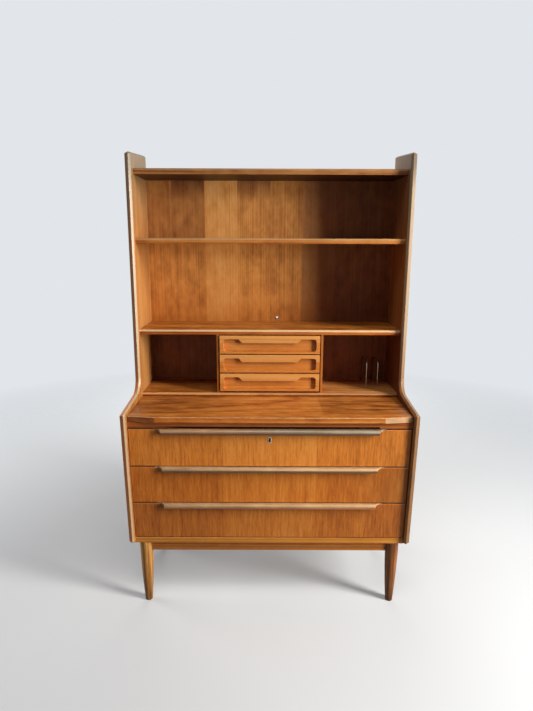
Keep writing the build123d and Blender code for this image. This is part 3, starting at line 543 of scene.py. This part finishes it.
for count, row in enumerate(ROWS):
    front_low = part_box(f"drawer_front_{row}")[0]
    front_wood = wood(f"teak_front_{row}", "XYZ", FRONT_TEAK[row], 3.0 + count, leaf=FRONT_LEAF, phase=2.37,
                      stripe=0.42, fine=0.5, mottle=0.2)
    # Painted shade on the right end of each front, strongest on the middle one.
    right_end = fading("X", 0.24, 0.44, 0.0, RIGHT_SHADE_SHARE[row])
    darken(front_wood, RIGHT_END_SHADE, right_end)
    # Painted shade along the front's lower edge, in the gap below it.
    darken(front_wood, GAP_SHADE, inside(Z=(0, front_low.z + GAP_SHADE_RISE)))
    dress(front_wood, ARRIS, f"drawer_front_{row}")

    grip_low, grip_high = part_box(f"drawer_handle_{row}")
    handle_wood = wood(f"teak_handle_{row}", "ZYX", HANDLE_TEAK[row], 17.0 + count, mottle=0.6, rough=0.32,
                       gloss=0.6)
    # Painted shade on each grip below its nose.
    below_nose = fading("Z", grip_low.z + NOSE_SHADE[0], grip_low.z + NOSE_SHADE[1], 1.0, 0.0)
    darken(handle_wood, BELOW_NOSE[row], below_nose)
    if row == "top":
        # Painted shade on the right half of the top grip.
        shaded_right = fading("X", -0.22, 0.06, 0.0, 1.0)
        darken(handle_wood, TOP_GRIP_SHADE, shaded_right)
    for end in STRIP_ENDS:
        repaint(handle_wood, FRONT_TEAK[row][1], inside(X=end))
        # Painted shade on the strip's top, in the gap above the front.
        gap_edge = inside(X=end, Y=(-FAR, front_low.y + GAP_SHADE_DEPTH), Z=(grip_high.z - GAP_SHADE_DROP, FAR))
        darken(handle_wood, GAP_SHADE, gap_edge)
    dress(handle_wood, HANDLE_EASE, f"drawer_handle_{row}")
    dress(box_wood, THIN_EASE, f"drawer_sides_{row}")
    dress(end_wood, THIN_EASE, f"drawer_back_{row}")
    dress(base_ply, UNEASED, f"drawer_base_{row}")

# Small drawers: solid teak fronts with a carved pocket below a hanging tongue, on pale boxes like the
# wide ones. The grain runs from side to side, handling has rounded every edge, and each tongue's face
# carries a painted sheen.
SMALL_TEAK = (tone(146, 76, 20), tone(188, 110, 42), tone(214, 148, 76))
TONGUE_SHEEN = tone(228, 178, 104)
TONGUE_DROP = 0.0275
SMALL_EASE = 0.0012
small_wood = wood("teak_small_front", "ZYX", SMALL_TEAK, seed=22.0, figure=0.1, stripe=0.35)
for row in ROWS:
    low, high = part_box(f"small_front_{row}")
    # Painted sheen on the face of each tongue.
    outer_face = fading("Y", low.y + 0.001, low.y + 0.003, 0.25, 0.0)
    repaint(small_wood, TONGUE_SHEEN, outer_face, inside(Z=(high.z - TONGUE_DROP, high.z)))
    dress(small_wood, SMALL_EASE, f"small_front_{row}")
    dress(box_wood, UNEASED, f"small_sides_{row}")
    dress(end_wood, THIN_EASE, f"small_back_{row}")
    dress(base_ply, UNEASED, f"small_base_{row}")

# Lock of the top drawer: a steel case with its bolt, screwed behind the front, and a bright plate round
# the keyhole, pressed into the front's face and painted black round the hole as painted shade.
METAL_EASE = 0.0003
LOCK_STEEL = tone(176, 172, 164)
KEYHOLE_PLATE = tone(206, 196, 178)
KEYHOLE_SHADE = tone(20, 14, 10)
dress(metal("lock_steel", LOCK_STEEL, rough=0.38), METAL_EASE, "lock_case", "lock_bolt")
plate_low, plate_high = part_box("keyhole_plate")
keyhole_metal = metal("keyhole_metal", KEYHOLE_PLATE, rough=0.3)
# Painted shade round the keyhole.
shaded_keyhole = inside(X=(-0.0042, 0.0032), Z=(plate_low.z + 0.0035, plate_high.z - 0.0025))
repaint(keyhole_metal, KEYHOLE_SHADE, shaded_keyhole)
dress(keyhole_metal, METAL_EASE, "keyhole_plate")

# Screws: slotted steel heads that hold the back panels in their rabbets, the lock case behind its drawer
# front and the stops below the writing slide. Each is domed, and its slot stands at its own angle.
SCREW_STEEL = tone(188, 182, 170)
screw_steel = metal("screw_steel", SCREW_STEEL, rough=0.34)


def screws(name, body, places, facing, upright, radius):
    """Screw heads in one mesh, each lofted from the chords of a circle.

    A chord's half length is the root of one less the square of its place across the head. The top is a
    shallow dome that drops between the walls of the slot, the underside is flat and lies in the wood, and
    the first and last chords are closed by flat caps. Sizes are shares of the radius.
    """
    rim, crown, sunk = 0.12, 0.22, 0.3
    slot_half, slot_depth = 0.15, 0.3
    turn_each = 2.4
    chords = np.array([-0.98, -0.9, -0.7, -0.42, -0.17, -0.14, 0.14, 0.17, 0.42, 0.7, 0.9, 0.98])
    slot_drop = np.where(np.abs(chords) < slot_half, slot_depth, 0.0)[:, None]
    along = np.sqrt(1 - chords**2)[:, None] * np.linspace(-1, 1, 9)
    across = np.broadcast_to(chords[:, None], along.shape)
    dome = rim + crown * (1 - across**2 - along**2) - slot_drop
    above = np.stack([across, along, dome], axis=-1)
    below = np.stack([across, along[:, ::-1], np.full_like(along, -sunk)], axis=-1)
    rings = radius * np.concatenate([above, below], axis=1)
    places = np.array(places)
    angle = turn_each * np.arange(len(places))[:, None, None]
    facing, upright = np.array(facing), np.array(upright)
    first = np.cos(angle) * rings[..., 0] - np.sin(angle) * rings[..., 1]
    second = np.sin(angle) * rings[..., 0] + np.cos(angle) * rings[..., 1]
    points = places[:, None, None] + first[..., None] * np.cross(upright, facing)
    points = points + second[..., None] * upright
    points = points + rings[..., 2:] * facing
    count, size = rings.shape[:2]
    here = np.arange(size)
    after = (here + 1) % size
    start = size * np.arange(count - 1)[:, None]
    walls = np.stack([start + here, start + size + here, start + size + after, start + after], axis=-1)
    heads = count * size * np.arange(len(places))
    faces = (heads[:, None, None] + walls.reshape(-1, 4)).reshape(-1, 4).tolist()
    faces += (heads[:, None] + here).tolist()
    faces += (heads[:, None] + size * (count - 1) + here[::-1]).tolist()
    mesh = bpy.data.meshes.new(name)
    mesh.from_pydata(points.reshape(-1, 3).tolist(), [], faces)
    mesh.materials.append(screw_steel)
    piece = bpy.data.objects.new(name, mesh)
    bpy.context.scene.collection.objects.link(piece)
    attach(piece, body)


SCREW_RADIUS, LOCK_SCREW_RADIUS = 0.0035, 0.0025
EDGE_INSET = 0.005
BOARD_MIDDLE = 0.009
BACK_COLUMNS = (-0.3, 0.0, 0.3)
EDGE_COUNT = 8
BACKWARDS, DOWNWARDS, UPWARDS = (0, 1, 0), (0, 0, -1), (0, 0, 1)
back_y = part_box("back_panel_upper")[1].y
edge_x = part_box("back_panel_upper")[1].x - EDGE_INSET
fixed_to = ("bottom_board", "hutch_floor", "lower_shelf", "upper_shelf", "top_board")
back_rows = [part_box(name)[0].z + BOARD_MIDDLE for name in fixed_to]
edge_rows = np.linspace(back_rows[0], back_rows[-1], EDGE_COUNT)
back_places = [(x, back_y, z) for z in back_rows for x in BACK_COLUMNS]
back_places += [(x, back_y, z) for z in edge_rows for x in (-edge_x, edge_x)]
screws("back_screws", "carcass", back_places, BACKWARDS, UPWARDS, SCREW_RADIUS)
LOCK_INSET = 0.007
case_low, case_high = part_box("lock_case")
case_z = (case_low.z + case_high.z) / 2
case_places = [(x, case_high.y, case_z) for x in (case_low.x + LOCK_INSET, case_high.x - LOCK_INSET)]
screws("lock_screws", "drawer_top", case_places, BACKWARDS, UPWARDS, LOCK_SCREW_RADIUS)
STOP_INSETS = (0.01, 0.03)
stop_low, stop_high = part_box("slide_stops")
stop_y = (stop_low.y + stop_high.y) / 2
stop_xs = [stop_low.x + inset for inset in STOP_INSETS]
stop_xs += [stop_high.x - inset for inset in reversed(STOP_INSETS)]
stop_places = [(x, stop_y, stop_low.z) for x in stop_xs]
screws("stop_screws", "writing_slide", stop_places, DOWNWARDS, BACKWARDS, SCREW_RADIUS)

# Floor, light and camera: a pale plain floor that fades into the pale background, a tall window of soft
# light from the right, soft light from above the front, soft fill from the left and from behind, and the
# camera where the photograph was taken.
FLOOR_REACH = 9.0
FLOOR_FADE = (1.0, 3.6)
FLOOR_SEEN, FLOOR_BOUNCE = tone(194, 194, 191), tone(90, 84, 60)
FLOOR_GLOW = 0.12
floor_mesh = bpy.data.meshes.new("floor")
corners = FLOOR_REACH * np.array([(-1, -1, 0), (1, -1, 0), (1, 1, 0), (-1, 1, 0)])
floor_mesh.from_pydata(corners.tolist(), [], [(0, 1, 2, 3)])
floor = bpy.data.objects.new("floor", floor_mesh)
bpy.context.scene.collection.objects.link(floor)


def seen(tree):
    """One where a ray comes from the camera, a gloss or a glass, and nothing where light bounces."""
    path = node(tree, "ShaderNodeLightPath", {}).outputs
    looked_at = maths(tree, "MAXIMUM", path["Is Camera Ray"], path["Is Glossy Ray"])
    return maths(tree, "MAXIMUM", looked_at, path["Is Transmission Ray"])


floor_paint, floor_tree, floor_shader = new_material("floor_paint")
floor_seen = seen(floor_tree)
floor_colour = blend_colour(floor_tree, "MIX", floor_seen, FLOOR_BOUNCE, FLOOR_SEEN)
floor_tree.links.new(floor_colour, floor_shader.inputs["Base Color"])
floor_place = axes_of(floor_tree)[1]
floor_far = node(floor_tree, "ShaderNodeVectorMath", {0: floor_place}, operation="LENGTH").outputs["Value"]
floor_tree.links.new(slope(floor_tree, floor_far, *FLOOR_FADE, 1.0, 0.0), floor_shader.inputs["Alpha"])
floor_glow = maths(floor_tree, "MULTIPLY", floor_seen, FLOOR_GLOW)
floor_tree.links.new(floor_glow, floor_shader.inputs["Emission Strength"])
floor_shader.inputs["Emission Color"].default_value = FLOOR_SEEN
floor_shader.inputs["Roughness"].default_value = 0.8
floor_mesh.materials.append(floor_paint)

AMBIENT = (0.02, 0.035, 0.09, 1.0)
BACKGROUND = tone(226, 230, 234)
world = bpy.data.worlds.new("studio")
bpy.context.scene.world = world
world.use_nodes = True
sky = world.node_tree
sky_colour = blend_colour(sky, "MIX", seen(sky), AMBIENT, BACKGROUND)
sky.links.new(sky_colour, sky.nodes["Background"].inputs["Color"])

LAMP_DISTANCE = 3.2
DESK_MIDDLE = (0.0, 0.0, 0.9)


def lamp(name, turn, rise, width, height, watts, gleam=True):
    """Soft box aimed at the middle of the desk, turned to the right of its front and raised by degrees."""
    light = bpy.data.lights.new(name, "AREA")
    light.shape = "RECTANGLE"
    light.size = width
    light.size_y = height
    light.energy = watts
    swing = Matrix.Rotation(radians(turn), 4, "Z") @ Matrix.Rotation(radians(90 - rise), 4, "X")
    holder = bpy.data.objects.new(name, light)
    holder.matrix_world = (Matrix.Translation(DESK_MIDDLE) @ swing
                           @ Matrix.Translation((0.0, 0.0, LAMP_DISTANCE)))
    holder.visible_camera = False
    holder.visible_glossy = gleam
    bpy.context.scene.collection.objects.link(holder)


lamp("window", turn=63.0, rise=16.0, width=0.8, height=2.8, watts=225.0)
lamp("ceiling", turn=0.0, rise=65.0, width=1.6, height=1.0, watts=28.0)
lamp("left_fill", turn=-105.0, rise=4.0, width=1.6, height=1.6, watts=55.0, gleam=False)
lamp("back_fill", turn=180.0, rise=2.0, width=2.0, height=1.6, watts=80.0, gleam=False)

CAMERA_PLACE = (-0.011732, -1.91794, 1.307787)
PAN, LOOK_DOWN, ROLL = radians(0.019), radians(90 - 12.189), radians(0.208)
camera_data = bpy.data.cameras.new("camera")
camera_data.sensor_width = 36.0
camera_data.lens = 26.944
camera = bpy.data.objects.new("camera", camera_data)
turned = Matrix.Rotation(PAN, 4, "Z") @ Matrix.Rotation(LOOK_DOWN, 4, "X") @ Matrix.Rotation(ROLL, 4, "Z")
camera.matrix_world = Matrix.Translation(CAMERA_PLACE) @ turned
bpy.context.scene.collection.objects.link(camera)
bpy.context.scene.camera = camera
bpy.context.scene.view_settings.view_transform = "Standard"
